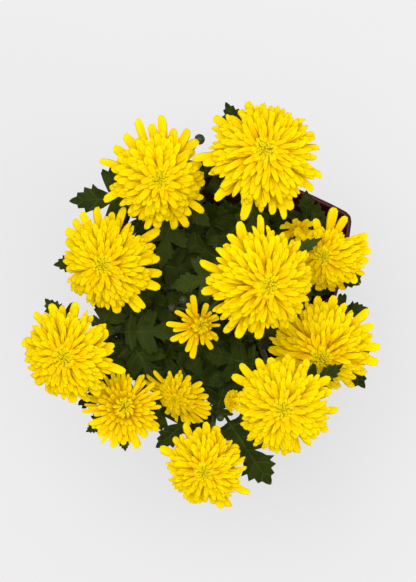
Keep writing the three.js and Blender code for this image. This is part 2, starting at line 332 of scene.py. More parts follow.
def leaf_finish():
    material, tree, shader = new_finish("leaf_green", 0.48)
    along, out = map_sides(tree, "Leaf")
    rib = band(tree, maths(tree, "ABSOLUTE", maths(tree, "SUBTRACT", out, 0.5)), 26.0)
    step = maths(tree, "FRACT", maths(tree, "MULTIPLY", along, VEINS_ALONG))
    vein = band(tree, maths(tree, "ABSOLUTE", maths(tree, "SUBTRACT", step, 0.5)), 9.0)
    lines = maths(tree, "MAXIMUM", rib, maths(tree, "MULTIPLY", vein, 0.6))
    place = object_place(tree)
    mottle = noise(tree, place, 90.0, 4.0)
    green = ramp(tree, mottle, (0.3, (0.01, 0.019, 0.0005)), (0.7, (0.03, 0.046, 0.002)))
    chance, _ = map_sides(tree, "Chance")
    toned = blend_colours(tree, maths(tree, "MULTIPLY", chance, 0.5), green, YOUNG_GREEN)
    colour = blend_colours(tree, maths(tree, "MULTIPLY", lines, 0.5), toned, VEIN_GREEN)
    tree.links.new(colour, shader.inputs["Base Color"])
    shader.inputs["Specular IOR Level"].default_value = 0.05
    pucker = noise(tree, place, 420.0, 2.0)
    height = maths(tree, "SUBTRACT", maths(tree, "MULTIPLY", pucker, 0.5), lines)
    bump(tree, shader, height, 0.5, 0.0008)
    let_light_through(tree, shader, colour, LEAF_GLOW)
    return material


LEAF_GREEN = leaf_finish()
print("finish", LEAF_GREEN.name, "nodes", len(LEAF_GREEN.node_tree.nodes))

# %% [markdown]
# ## The stems' and buds' finish
# A stem is a greyer green than a leaf, with fine ribs along it, and a bud is dull and mottled. Ribs
# could be modelled, but each is finer than a facet of the stem. Noise that is stretched upwards draws
# them in the colour and the bump, and noise that is left round mottles the bud.

# %% Stem green and bud green
def stretched(tree, scale):
    node = tree.nodes.new("ShaderNodeMapping")
    node.inputs["Scale"].default_value = scale
    tree.links.new(object_place(tree), node.inputs["Vector"])
    return node.outputs[0]


def stem_finish():
    material, tree, shader = new_finish("stem_green", 0.6)
    streaks = noise(tree, stretched(tree, (1, 1, 0.08)), 900.0, 2.0)
    green = ramp(tree, streaks, (0.3, (0.03, 0.045, 0.008)), (0.75, (0.08, 0.11, 0.025)))
    tree.links.new(green, shader.inputs["Base Color"])
    bump(tree, shader, streaks, 0.6, 0.0006)
    return material


def bud_finish():
    material, tree, shader = new_finish("bud_green", 0.6)
    mottle = noise(tree, object_place(tree), 700.0, 3.0)
    green = ramp(tree, mottle, (0.3, (0.02, 0.032, 0.007)), (0.7, (0.055, 0.072, 0.02)))
    tree.links.new(green, shader.inputs["Base Color"])
    bump(tree, shader, mottle, 0.4, 0.0005)
    return material


STEM_GREEN = stem_finish()
BUD_GREEN = bud_finish()
print("finishes", STEM_GREEN.name, BUD_GREEN.name)

# %% [markdown]
# ## The jar's glaze
# The jar has a thick oxblood glaze, almost black where it lies deep, with a few rusty specks, that
# thins to a clearer red on the lip. A painted picture would need the jar to be unwrapped. Slow noise
# for the pools, fine noise for the specks and the height over the table for the lip need no map.

# %% Oxblood glaze
SPECK_RUST = (0.12, 0.035, 0.02)
LIP_RED = (0.07, 0.008, 0.007)
LIP_DEPTH = 0.004


def glaze_finish():
    material, tree, shader = new_finish("oxblood_glaze", 0.24)
    place = object_place(tree)
    pools = noise(tree, place, 16.0, 5.0, 0.6)
    red = ramp(tree, pools, (0.35, (0.028, 0.0012, 0.0016)), (0.65, (0.06, 0.003, 0.003)))
    specks = noise(tree, place, 380.0, 2.0)
    speckled = blend_colours(tree, maths(tree, "GREATER_THAN", specks, 0.71), red, SPECK_RUST)
    split = tree.nodes.new("ShaderNodeSeparateXYZ")
    tree.links.new(place, split.inputs[0])
    lip_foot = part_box("jar")[1][2] - LIP_DEPTH
    thin = maths(tree, "DIVIDE", maths(tree, "SUBTRACT", split.outputs[2], lip_foot), LIP_DEPTH)
    thin = maths(tree, "MULTIPLY", maths(tree, "MAXIMUM", thin, 0.0), 0.3)
    colour = blend_colours(tree, thin, speckled, LIP_RED)
    tree.links.new(colour, shader.inputs["Base Color"])
    shader.inputs["Specular IOR Level"].default_value = 0.1
    shader.inputs["Coat Weight"].default_value = 0.05
    shader.inputs["Coat Roughness"].default_value = 0.06
    bump(tree, shader, pools, 0.08, 0.002)
    return material


OXBLOOD = glaze_finish()
print("finish", OXBLOOD.name)

# %% [markdown]
# ## The water's finish
# The water is still and tinted a little green by the stems. Perfectly clear water would all but vanish
# between dark walls, so it is part see-through and part tint, with a very faint ripple.

# %% Water
def water_finish():
    material, tree, shader = new_finish("water", 0.12)
    ripple = noise(tree, object_place(tree), 30.0, 1.0)
    tint = ramp(tree, ripple, (0.3, (0.1, 0.12, 0.07)), (0.7, (0.16, 0.19, 0.12)))
    tree.links.new(tint, shader.inputs["Base Color"])
    shader.inputs["Transmission Weight"].default_value = 0.35
    shader.inputs["IOR"].default_value = 1.33
    bump(tree, shader, ripple, 0.05, 0.001)
    return material


WATER = water_finish()
print("finish", WATER.name)

# %% [markdown]
# ## One petal
# A petal is a long thin strap, narrow at its foot and broadest past its middle. An outline cut from a
# plane would have no thickness and no round edge. Here an eight-sided disc stands upright and is
# extruded along, wider and then narrower, so a petal is closed and round all over with few faces. Most
# petals are straps. Those in the eye and in the open sprays are rolled into quills, and the single
# long ones end like a spoon.

# %% Extrude a petal
SIDES = 8
RINGS = (0.0, 0.16, 0.42, 0.66, 0.83, 0.94, 1.0)
SPOON = (0.4, 0.5, 0.76, 0.97, 1.0, 0.86, 0.4)
STRAP = (0.55, 0.7, 0.94, 1.0, 0.92, 0.68, 0.26)
QUILL = (0.5, 0.6, 0.8, 1.0, 1.0, 0.84, 0.4)


def petal_shape(name, width, thickness, widths, bend, gutter):
    select_nothing()
    bpy.ops.mesh.primitive_circle_add(
        vertices=SIDES, radius=0.5, fill_type="NGON", rotation=(math.pi / 2, 0, math.pi / 2)
    )
    petal = bpy.context.object
    petal.name = name
    bpy.ops.object.transform_apply(location=False, rotation=True, scale=False)
    bpy.ops.object.mode_set(mode="EDIT")
    bpy.ops.transform.resize(value=(1, width * widths[0], thickness))
    ratios = [wide / narrow for narrow, wide in zip(widths, widths[1:])]
    for before, after, ratio in zip(RINGS, RINGS[1:], ratios):
        thinning = 1 if after < 1 else 0.5
        bpy.ops.mesh.extrude_region_move(TRANSFORM_OT_translate={"value": (after - before, 0, 0)})
        bpy.ops.transform.resize(value=(1, ratio, thinning), center_override=(after, 0, 0))
    bpy.ops.mesh.select_all(action="SELECT")
    bpy.ops.mesh.normals_make_consistent(inside=False)
    bpy.ops.object.mode_set(mode="OBJECT")
    map_petal(petal, width)
    curl(petal, width, bend, gutter)
    smooth(petal)
    return petal


# %% [markdown]
# A petal arches along its length and is a shallow gutter across. The Simple Deform modifier only bends
# in one even arc, so the arch is walked in small steps: at each, the petal climbs with the slope that
# its kind has there, and every vertex is laid on that path. Its map is made first, while the petal is
# straight and its width and length are plain to read.

# %% Map and curl a petal
CURL_STEPS = 60


def map_petal(petal, width):
    mesh = petal.data
    mesh.uv_layers[0].name = "Petal"
    mesh.uv_layers.new(name="Place")
    for loop in mesh.loops:
        place = mesh.vertices[loop.vertex_index].co
        mesh.uv_layers["Petal"].data[loop.index].uv = (place.y / width + 0.5, place.x)


def curl(petal, width, bend, gutter):
    slopes = [math.radians(bend(i / CURL_STEPS)) for i in range(CURL_STEPS + 1)]
    along = [0.0]
    rise = [0.0]
    for slope in slopes[:-1]:
        along.append(along[-1] + math.cos(slope) / CURL_STEPS)
        rise.append(rise[-1] + math.sin(slope) / CURL_STEPS)
    for vertex in petal.data.vertices:
        x, y, z = vertex.co
        out = 2 * y / width
        place = min(max(x, 0.0), 1.0) * CURL_STEPS
        low = min(int(place), CURL_STEPS - 1)
        part = place - low
        lift = z + gutter * width * out * out
        slope = slopes[low] + part * (slopes[low + 1] - slopes[low])
        vertex.co = (
            along[low] + part * (along[low + 1] - along[low]) - lift * math.sin(slope),
            y,
            rise[low] + part * (rise[low + 1] - rise[low]) + lift * math.cos(slope),
        )


# %% [markdown]
# A chrysanthemum has several kinds of petal, from the quills in its eye to the long ones at its rim.
# One petal could be stretched for all of them, but they differ in thickness and arch too. So each kind
# is modelled once, one unit long. A kind is its width, its thickness, its outline, its slope in degrees
# at the share s of its length, and how far its edges are lifted.

# %% The kinds of petal
KINDS = {
    "eye": (0.2, 0.08, QUILL, lambda s: 45 - 105 * s, 0.1),
    "inner": (0.2, 0.03, STRAP, lambda s: 30 - 64 * s, 0.2),
    "outer": (0.17, 0.018, STRAP, lambda s: 30 - 62 * s, 0.22),
    "curled": (0.17, 0.018, STRAP, lambda s: 8 - 30 * s + 40 * s ** 5, 0.32),
    "loose": (0.18, 0.02, SPOON, lambda s: 14 - 30 * s + 18 * s ** 6, 0.34),
    "quill": (0.13, 0.03, QUILL, lambda s: 12 - 24 * s + 16 * s ** 4, 0.25),
}
PETALS = {}
TIPS = {}
for kind, shape in KINDS.items():
    petal = petal_shape(f"petal_{kind}", *shape)
    end_ring = list(petal.data.vertices)[-SIDES:]
    PETALS[kind] = petal
    TIPS[kind] = sum((vertex.co for vertex in end_ring), Vector()) / SIDES
    print("petal", kind, "faces", len(petal.data.polygons), "tip", TIPS[kind])

# %% [markdown]
# ## One bloom
# A bloom is a few hundred petals that all grow from one small head. Scattering them with a modifier
# would leave their feet and tips to luck, so each one is laid by itself, from its foot to its tip. A
# copy is turned and stretched until its ends lie there, and its Place map gets its two numbers.

# %% Lay one petal
def add_petal(parts, kind, base, tip, width, ring, twist=0.0):
    """Lay a petal from one place to another, its hollow side up."""
    petal = fresh_copy(PETALS[kind])
    way = tip - base
    end = TIPS[kind]
    size = way.length / end.length
    heading = math.atan2(way.y, way.x)
    slope = math.asin(way.z / way.length) - math.atan2(end.z, end.x)
    place = (
        Matrix.Translation(base)
        @ Matrix.Rotation(heading, 4, "Z")
        @ Matrix.Rotation(-slope, 4, "Y")
        @ Matrix.Rotation(twist, 4, "X")
    )
    unit_width = KINDS[kind][0]
    petal.data.transform(place @ Matrix.Diagonal((size, width / unit_width, size, 1)))
    chance = rng.random()
    petal.data.uv_layers["Place"].data.foreach_set("uv", [ring, chance] * len(petal.data.loops))
    parts.append(petal)


def polar(out, heading, up):
    return Vector((out * math.cos(heading), out * math.sin(heading), up))


# %% [markdown]
# On the real flower, each new petal starts 137.5 degrees round from the last, which packs them evenly
# with no rows. Rings of petals would be simpler, but they show as rings. The eye is the youngest part:
# short narrow petals that stand up and arch in over the middle, so that mostly their tips show.

# %% The eye of a bloom
GOLDEN = math.radians(137.508)


def add_eye(parts, radius, size, top, count):
    """Narrow young petals that arch in over the middle of the bloom."""
    for number in range(count):
        ring = math.sqrt((number + 0.4) / count)
        heading = number * GOLDEN + rng.uniform(-0.2, 0.2)
        base = polar(radius * size * (0.45 + 0.7 * ring), heading, radius * (top - 0.2))
        tip = polar(radius * size * 0.8 * ring ** 1.2, heading + 0.2, radius * (top - 0.03 + 0.03 * ring))
        add_petal(parts, "eye", base, tip, radius * size * (0.2 + 0.12 * ring), 0.11 * ring ** 2)


# %% [markdown]
# Round the eye the petals lie over one another like tiles on a dome. The inner ones stand up and the
# outer ones lie almost flat, so a petal's length, slope and kind all follow from how far out it is, and
# chance adds a small fault to each. Where something holds a bloom back on one side, a gap keeps the
# tips close in between two headings.

# %% The body of a bloom
EYE_EDGE = 0.28


def dome(ring):
    """Out and up, as shares of the bloom's radius, for a petal's tip."""
    turn = ring * math.pi / 2
    out = 0.45 * ring + 0.55 * math.sin(turn)
    up = 0.22 + 0.5 * max(0.0, math.cos(turn)) ** 0.8
    return out, up


def add_body(parts, radius, body, petals, width, gap=None):
    for number in range(petals):
        ring = math.sqrt(EYE_EDGE ** 2 + (1 - EYE_EDGE ** 2) * (number + 0.5) / petals)
        out, up = dome(ring)
        out *= body * rng.uniform(0.94, 1.04)
        up += rng.uniform(-0.02, 0.03)
        heading = number * GOLDEN + rng.uniform(-0.2, 0.2)
        if gap:
            first, last, reach = gap
            if first < math.degrees(heading) % 360 < last:
                out = min(out, reach)
        slope = math.radians(46 - 50 * ring ** 0.7 + rng.uniform(-6, 6))
        length = radius * (0.26 + 0.62 * ring * body)
        tip = polar(radius * out, heading, radius * up)
        lean = heading + rng.uniform(-0.12, 0.12)
        level = math.cos(slope)
        way = Vector((level * math.cos(lean), level * math.sin(lean), math.sin(slope)))
        wide = width * (0.6 + 0.4 * min(1.0, ring / 0.8)) * rng.uniform(0.85, 1.18)
        kind = "inner" if ring < 0.4 else rng.choice(("outer", "outer", "outer", "outer", "curled"))
        add_petal(parts, kind, tip - length * way, tip, wide, ring, rng.uniform(-0.3, 0.3))


# %% [markdown]
# From under the dome, single long petals reach out past its rim and give each bloom its own outline.
# An open spray has no dome. Its narrow petals do stand in rings, each turned half a step from the last,
# so that they fill each other's spaces.

# %% Long petals and open rows
def add_loose(parts, radius, width, places):
    """Single long petals, each given by its heading in degrees and its reach in radii."""
    for degrees, reach in places:
        heading = math.radians(degrees)
        tip = polar(radius * reach, heading, radius * rng.uniform(0.16, 0.32))
        base = polar(0.12 * radius, heading + rng.uniform(-0.8, 0.8), radius * rng.uniform(0.2, 0.3))
        add_petal(parts, "loose", base, tip, width * rng.uniform(0.9, 1.15), 1.0, rng.uniform(-0.5, 0.5))


def add_rows(parts, radius, width, rows):
    """Rings of narrow petals: how many, their reach, and the height of their tips."""
    for row, (count, reach, up) in enumerate(rows):
        for number in range(count):
            heading = 2 * math.pi * (number + 0.5 * row + rng.uniform(-0.3, 0.3)) / count
            out = radius * reach * rng.uniform(0.86, 1.04)
            tip = polar(out, heading, radius * (up + rng.uniform(-0.05, 0.05)))
            base = polar(0.1 * radius, heading, radius * 0.2)
            wide = width * rng.uniform(0.8, 1.2)
            add_petal(parts, "quill", base, tip, wide, 0.3 + 0.6 * reach, rng.uniform(-0.5, 0.5))


# %% [markdown]
# The mass of petals needs something for the inner ones to grow from, or light would shine through
# between them. A squashed ball, well inside the bloom, does this, as the flower's base does. A smaller
# one is the green button under the eye. They wear the petals' finish, so their maps hold one place.

# %% Bloom hearts
def add_heart(parts, radius, size, low, high, ring=0.7):
    select_nothing()
    bpy.ops.mesh.primitive_uv_sphere_add(segments=20, ring_count=10, radius=1)
    heart = bpy.context.object
    heart.scale = (size * radius, size * radius, 0.5 * (high - low) * radius)
    heart.location = (0, 0, 0.5 * (high + low) * radius)
    bpy.ops.object.transform_apply(location=True, rotation=False, scale=True)
    smooth(heart)
    mesh = heart.data
    mesh.uv_layers[0].name = "Petal"
    mesh.uv_layers.new(name="Place")
    mesh.uv_layers["Petal"].data.foreach_set("uv", [0.5, 0.1] * len(mesh.loops))
    mesh.uv_layers["Place"].data.foreach_set("uv", [ring, 0.5] * len(mesh.loops))
    parts.append(heart)


# %% [markdown]
# A bloom's solid is a dome with a flat underside. It is thinner than it is wide, so the direction in
# which its vertices spread least is the way that the bloom faces. A bloom is made upright at the
# middle of the scene, where its sums are simple, and is turned and moved onto its seat at the end.

# %% Where the blooms are
def bloom_pose(name):
    """The middle of the flat underside, the way that the bloom faces, and its radius."""
    points = np.unique(corners_of(name).round(6), axis=0)
    middle = points.mean(axis=0)
    _, ways = np.linalg.eigh(np.cov((points - middle).T))
    axis = ways[:, 0] * (1 if ways[2, 0] > 0 else -1)
    depth = (points - middle) @ axis
    side = np.linalg.norm((points - middle) - depth[:, None] * axis, axis=1)
    under = middle + depth.min() * axis
    return Vector(under), Vector(axis).normalized(), float(side.max())


def onto_seat(seat, axis):
    """The move of a piece that was made upright at the origin onto its seat, facing along an axis."""
    return Matrix.Translation(seat) @ UP.rotation_difference(axis).to_matrix().to_4x4()


BLOOMS = {}
for number in range(1, 15):
    BLOOMS[number] = bloom_pose(f"flower_head_{number}")
    seat, axis, radius = BLOOMS[number]
    print("bloom", number, "radius", round(radius, 4), "lean", round(math.degrees(axis.angle(UP)), 1))

# %% [markdown]
# ## The fourteen blooms
# No two blooms stick out their long petals in the same way. Chance would give each a ragged rim but not
# its own outline, so every such petal is listed, with its heading in degrees and its reach as a share
# of the bloom's radius.

# %% Where the long petals are
LOOSE = {
    1: (
        (108, 1.12), (88, 1.12), (97, 0.97), (72, 0.94), (58, 1.04), (41, 1.0), (22, 0.84), (-7, 0.88),
        (-23, 0.92), (-37, 1.06), (-58, 1.06), (-72, 1.0), (-104, 0.95), (-125, 0.86), (205, 1.05),
        (192, 0.88), (165, 1.08), (144, 0.96), (127, 0.98), (5, 0.86), (-90, 0.92), (-48, 0.9),
    ),
    2: (
        (105, 0.95), (139, 1.05), (151, 0.97), (183, 1.16), (188, 1.0), (224, 1.08), (252, 1.14),
        (-72, 1.1), (-61, 1.0), (-20, 1.03), (-34, 1.0), (9, 0.96), (25, 0.94), (-82, 0.98),
    ),
    3: (
        (155, 0.98), (143, 1.06), (130, 1.1), (118, 1.12), (102, 1.1), (86, 0.98), (73, 1.12),
        (34, 1.18), (20, 0.96), (7, 1.02), (-10, 1.04), (-25, 1.1), (-51, 1.1), (-59, 1.1),
        (-82, 0.98),
    ),
    4: (
        (94, 1.1), (111, 1.06), (128, 0.98), (161, 1.08), (192, 1.0), (180, 0.94), (238, 1.06),
        (249, 1.03), (-89, 1.02), (-60, 0.98),
    ),
    5: (
        (80, 0.96), (60, 0.9), (109, 0.76), (24, 0.98), (4, 0.98), (-12, 0.94), (-30, 0.96),
        (-48, 0.95), (-66, 0.96), (-84, 0.95), (-104, 0.94), (147, 0.84), (165, 0.9), (14, 0.93),
    ),
    6: (
        (93, 0.98), (78, 1.02), (64, 0.98), (42, 1.1), (26, 1.03), (1, 1.06), (-18, 1.08), (-35, 1.0),
        (-52, 1.0), (-68, 0.96), (14, 0.94),
    ),
    7: (
        (85, 0.97), (63, 1.0), (31, 1.04), (-3, 1.05), (17, 0.96), (257, 0.9), (-82, 0.92), (150, 1.1),
        (135, 1.12), (118, 1.02), (105, 0.95), (-30, 0.98),
    ),
    8: (
        (114, 1.06), (90, 1.02), (73, 0.94), (33, 0.86), (-30, 1.12), (-59, 1.06), (-69, 1.0),
        (253, 0.9), (157, 1.08), (138, 0.94), (100, 0.9),
    ),
    9: (
        (111, 1.0), (131, 1.02), (83, 0.98), (56, 0.86), (12, 0.88), (-16, 1.12), (29, 0.88),
        (168, 0.95), (240, 0.92), (-70, 0.98), (-88, 0.94), (122, 0.9), (98, 0.92), (-44, 0.92),
        (-57, 0.96), (215, 0.9),
    ),
    10: (
        (204, 0.92), (255, 1.0), (-71, 1.05), (-32, 1.02), (-51, 0.9), (228, 0.9), (-90, 0.9),
    ),
    11: (
        (164, 1.6), (153, 1.5), (142, 1.35), (172, 1.4), (110, 1.0), (84, 0.98), (58, 1.02), (32, 1.2),
        (18, 1.15), (4, 1.18), (-8, 1.26), (-18, 1.34), (-28, 1.38), (-37, 1.36), (-46, 1.32),
        (-55, 1.28), (-65, 1.22), (-76, 1.2), (-88, 1.14), (-100, 1.12), (-113, 1.08), (-128, 1.04),
        (-22, 1.15), (-50, 1.12),
    ),
    12: (
        (102, 1.0), (118, 0.8), (151, 0.9), (177, 1.08), (207, 1.04), (192, 0.86), (244, 0.95),
        (260, 1.1), (-60, 0.9), (-38, 0.8), (70, 0.75), (222, 0.85), (20, 0.7),
    ),
    14: (
        (170, 1.1), (150, 0.92), (40, 0.85), (18, 1.0), (196, 1.0), (215, 1.05), (240, 1.0),
        (-20, 1.1), (-48, 1.0), (104, 0.7),
    ),
}

# %% [markdown]
# Ten blooms are full: nine large ones and one small one. A full bloom has its body's reach, its number
# of petals and their width, and bloom 5 has a gap on the side where its petals are held back.
# Three are open sprays, given by the petals' width, the rings and the eye's size. One is young and half
# closed. Each bloom's petals are joined into one piece, which takes the place of its solid.

# %% Make the blooms
FULL = {
    1: (0.84, 170, 0.0066),
    2: (0.92, 250, 0.0056),
    3: (0.92, 235, 0.0055),
    4: (0.93, 240, 0.0058),
    5: (0.88, 210, 0.005),
    6: (0.92, 220, 0.0054),
    7: (0.92, 220, 0.0055),
    8: (0.88, 190, 0.005),
    9: (0.9, 230, 0.0054),
    11: (0.9, 150, 0.0038),
}
GAPS = {5: (30, 142, 0.56)}
OPEN = {
    10: (0.0041, ((27, 0.98, 0.22), (27, 0.86, 0.3), (24, 0.68, 0.4), (20, 0.45, 0.48)), 0.24),
    12: (0.0035, ((14, 0.66, 0.36), (12, 0.44, 0.44)), 0.26),
    14: (0.0034, ((12, 0.62, 0.24), (12, 0.5, 0.34), (8, 0.36, 0.42)), 0.22),
}
LONG_PETAL = 0.0076
SMALL_LONG_PETAL = 0.005
for number, (seat, axis, radius) in BLOOMS.items():
    parts = []
    if number in FULL:
        body, petals, width = FULL[number]
        long_width = LONG_PETAL if number < 11 else SMALL_LONG_PETAL
        add_heart(parts, radius, size=0.3, low=0.02, high=0.56)
        add_heart(parts, radius, size=0.19, low=0.3, high=0.66, ring=0.03)
        add_body(parts, radius, body, petals, width, GAPS.get(number))
        add_eye(parts, radius, size=0.22, top=0.71, count=55)
        add_loose(parts, radius, long_width, LOOSE[number])
    elif number in OPEN:
        width, rows, eye = OPEN[number]
        add_heart(parts, radius, size=0.24, low=0.0, high=0.4)
        add_rows(parts, radius, width, rows)
        add_eye(parts, radius, size=eye, top=0.62, count=40)
        add_loose(parts, radius, 1.5 * width, LOOSE[number])
    else:
        add_heart(parts, radius, size=0.4, low=0.0, high=0.5)
        add_body(parts, radius, body=0.95, petals=60, width=0.004)
        add_eye(parts, radius, size=0.2, top=0.68, count=20)
    bloom = joined(f"bloom_{number}", parts)
    bloom.data.transform(onto_seat(seat, axis))
    finish_piece(bloom, PETAL_YELLOW, "petals", f"flower_head_{number}")
    print(bloom.name, "faces", len(bloom.data.polygons))
for petal in PETALS.values():
    bpy.data.objects.remove(petal)

# %% [markdown]
# ## Stems and cups
# A stem is a soft curve with a round section that thickens a little towards its foot. Cylinders set end
# to end would show where they meet. A curve object with a bevel is round and smooth at once, and is
# made a mesh at the end.

# %% Tubes along a path
def tube(name, points, radii):
    select_nothing()
    bpy.ops.curve.primitive_nurbs_path_add()
    path = bpy.context.object
    path.name = name
    path.data.splines.clear()
    spline = path.data.splines.new("NURBS")
    spline.points.add(len(points) - 1)
    for control, point, radius in zip(spline.points, points, radii):
        control.co = (*point, 1)
        control.radius = radius
    spline.use_endpoint_u = True
    spline.order_u = 4
    path.data.resolution_u = 3
    path.data.bevel_depth = 1.0
    path.data.bevel_resolution = 3
    path.data.use_fill_caps = True
    path.matrix_world = Matrix.Identity(4)
    select_only(path)
    bpy.ops.object.convert(target="MESH")
    piece = bpy.context.object
    smooth(piece)
    return piece


# %% [markdown]
# Under each bloom the stem widens into a cup that holds the petals. It could be spun from its profile,
# but so small a cup needs only a disc that is extruded upwards three times, wider at each.

# %% The cup under a bloom
def cup(seat, axis, radius, height):
    select_nothing()
    bpy.ops.mesh.primitive_circle_add(
        vertices=20, radius=0.4 * radius, fill_type="NGON", location=(0, 0, -height)
    )
    piece = bpy.context.object
    bpy.ops.object.mode_set(mode="EDIT")
    for rise, share in ((0.25, 1.75), (0.35, 1.3), (0.4, 1.1)):
        bpy.ops.mesh.extrude_region_move(TRANSFORM_OT_translate={"value": (0, 0, rise * height)})
        bpy.ops.transform.resize(value=(share, share, 1))
    bpy.ops.mesh.select_all(action="SELECT")
    bpy.ops.mesh.normals_make_consistent(inside=False)
    bpy.ops.object.mode_set(mode="OBJECT")
    bpy.ops.object.transform_apply(location=True, rotation=True, scale=True)
    smooth(piece)
    piece.data.transform(onto_seat(seat, axis))
    return piece


# %% [markdown]
# The cup is covered in small pointed green scales. One is modelled from a block: the face at its far
# end is extruded three times and shrinks towards a point. A cone would be quicker, but a real scale is
# flat and has shoulders. Its copies stand round the cup, every other one lower and steeper.

# %% One scale of the cup
select_nothing()
bpy.ops.mesh.primitive_cube_add(size=1)
SCALE = bpy.context.object
SCALE.name = "cup_scale"
SCALE.scale = (0.22, 0.5, 0.12)
SCALE.location = (0.11, 0, 0)
bpy.ops.object.transform_apply(location=True, rotation=False, scale=True)
bpy.ops.object.mode_set(mode="EDIT")
bpy.ops.mesh.select_all(action="DESELECT")
bpy.ops.object.mode_set(mode="OBJECT")
for face in SCALE.data.polygons:
    face.select = face.normal.x > 0.9
bpy.ops.object.mode_set(mode="EDIT")
for step, share in ((0.3, 1.15), (0.3, 0.7), (0.18, 0.25)):
    bpy.ops.mesh.extrude_region_move(TRANSFORM_OT_translate={"value": (step, 0, 0.05)})
    bpy.ops.transform.resize(value=(1, share, 0.7))
bpy.ops.object.mode_set(mode="OBJECT")
smooth(SCALE)


def scales_round(seat, axis, radius, length, count, parts):
    seated = onto_seat(seat, axis)
    for number in range(count):
        row = number % 2
        heading = 2 * math.pi * number / count
        piece = fresh_copy(SCALE)
        lean = Matrix.Rotation(math.radians(-28 - 22 * row), 4, "Y")
        push = Matrix.Translation((0.55 * radius, 0, -0.5 * length - 0.15 * row * length))
        size = Matrix.Diagonal((length, 0.75 * length, length, 1))
        piece.matrix_world = seated @ Matrix.Rotation(heading, 4, "Z") @ push @ lean @ size
        parts.append(piece)


# %% [markdown]
# A stem's path goes through the middles of level cuts of its solid, from just over its foot to just
# under its bloom. The ten main stems are thick and stand on the jar's floor. The four side shoots are
# thinner and leave a main stem below its bloom. A stem, its cup and the cup's scales become one piece.

# %% Make the stems
SEAT_GAP = 0.0003
STEM_FOOT = 0.0035
NECK = 0.012


def stem_points(name, seat, axis, count):
    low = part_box(name)[0][2]
    end = seat - SEAT_GAP * axis
    span = end.z - NECK - low - STEM_FOOT
    heights = [low + STEM_FOOT + span * i / (count - 1) for i in range(count)]
    points = [centre_at(name, height) for height in heights]
    first = points[0] - (points[1] - points[0]).normalized() * 0.003
    return [first, *points, end - 0.004 * axis, end]


for number in range(1, 15):
    main = number <= 10
    name = f"stem_{number}" if main else f"side_shoot_{number}"
    seat, axis, _ = BLOOMS[number]
    points = stem_points(name, seat, axis, 12 if main else 5)
    thick = 0.0027 if main else 0.0016
    size = 0.0064 if main else 0.0036
    radii = [thick * (1.06 - 0.16 * i / (len(points) - 1)) for i in range(len(points))]
    radii[0] = 0.9 * thick
    parts = [tube(name + "_round", points, radii), cup(seat, axis, size, 0.95 * size)]
    scales_round(seat, axis, size, 1.1 * size, 16 if main else 12, parts)
    stem = joined(name + "_live", parts)
    finish_piece(stem, STEM_GREEN, "stem", name)
    print(name, "points", len(points), "faces", len(stem.data.polygons))

# %% [markdown]
# ## Buds
# A bud is a tight round ball wrapped in pointed green scales, on a thin stalk. A pattern of scales on a
# ball would leave its outline smooth, so real scales stand round the ball in three rows, the lowest
# spread and the highest closing over the top. The scale that was modelled for the cups is used again.
# The ball is found as the widest level cut near the top of the bud's solid.

# %% Find a bud's ball
CUT_STEP = 0.0005
WIDER = 0.00005


def bud_ball(name):
    """The middle and the radius of the ball, from level cuts downwards from its top."""
    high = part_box(name)[1][2]
    widest = 0
    middle = None
    for step in range(2, 22):
        height = high - CUT_STEP * step
        cut = cut_at(name, height)
        size = (cut[:, :2].max(axis=0) - cut[:, :2].min(axis=0)).min()
        if size > widest + WIDER:
            widest = size
            middle = centre_at(name, height)
        elif step > 12:
            break
    return middle, widest / 2


# %% [markdown]
# A row of scales is given by how high it starts on the ball, how many scales it has, and how steeply
# they stand.

# %% Make the buds
BUD_FOOT = 0.0015
BUD_ROWS = ((-0.75, 9, 62), (-0.35, 9, 78), (0.1, 8, 104))
for number in range(1, 5):
    name = f"bud_{number}"
    middle, radius = bud_ball(name)
    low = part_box(name)[0][2]
    span = middle.z - 0.8 * radius - low - BUD_FOOT
    heights = [low + BUD_FOOT + span * i / 5 for i in range(6)]
    points = [centre_at(name, height) for height in heights] + [middle]
    stalk = tube(name + "_stalk", points, [0.0011] * len(points))
    select_nothing()
    bpy.ops.mesh.primitive_uv_sphere_add(
        segments=16, ring_count=10, radius=0.93 * radius, location=middle
    )
    ball = bpy.context.object
    smooth(ball)
    parts = [ball, stalk]
    for row, (lift, count, lean) in enumerate(BUD_ROWS):
        side = radius * math.sqrt(1 - lift * lift)
        for step in range(count):
            piece = fresh_copy(SCALE)
            heading = 2 * math.pi * (step + 0.5 * row) / count
            piece.matrix_world = (
                Matrix.Translation(middle)
                @ Matrix.Rotation(heading, 4, "Z")
                @ Matrix.Translation((side, 0, lift * radius))
                @ Matrix.Rotation(math.radians(-lean), 4, "Y")
                @ Matrix.Diagonal((radius, radius, radius, 1))
            )
            parts.append(piece)
    bud = joined(name + "_live", parts)
    finish_piece(bud, BUD_GREEN, "bud", name)
    print(name, "radius", round(float(radius), 4), "faces", len(bud.data.polygons))
bpy.data.objects.remove(SCALE)

# %% [markdown]
# ## Leaves
# A chrysanthemum's leaf has a short stalk, a midrib, two lobes a side that point forwards and a longer
# one at the tip, with deep notches between them and blunt teeth. It could be cut from a sheet, but the
# rows of a grid can also be laid along the side veins, from the midrib out to the edge: then it bends
# well and the veins run right.

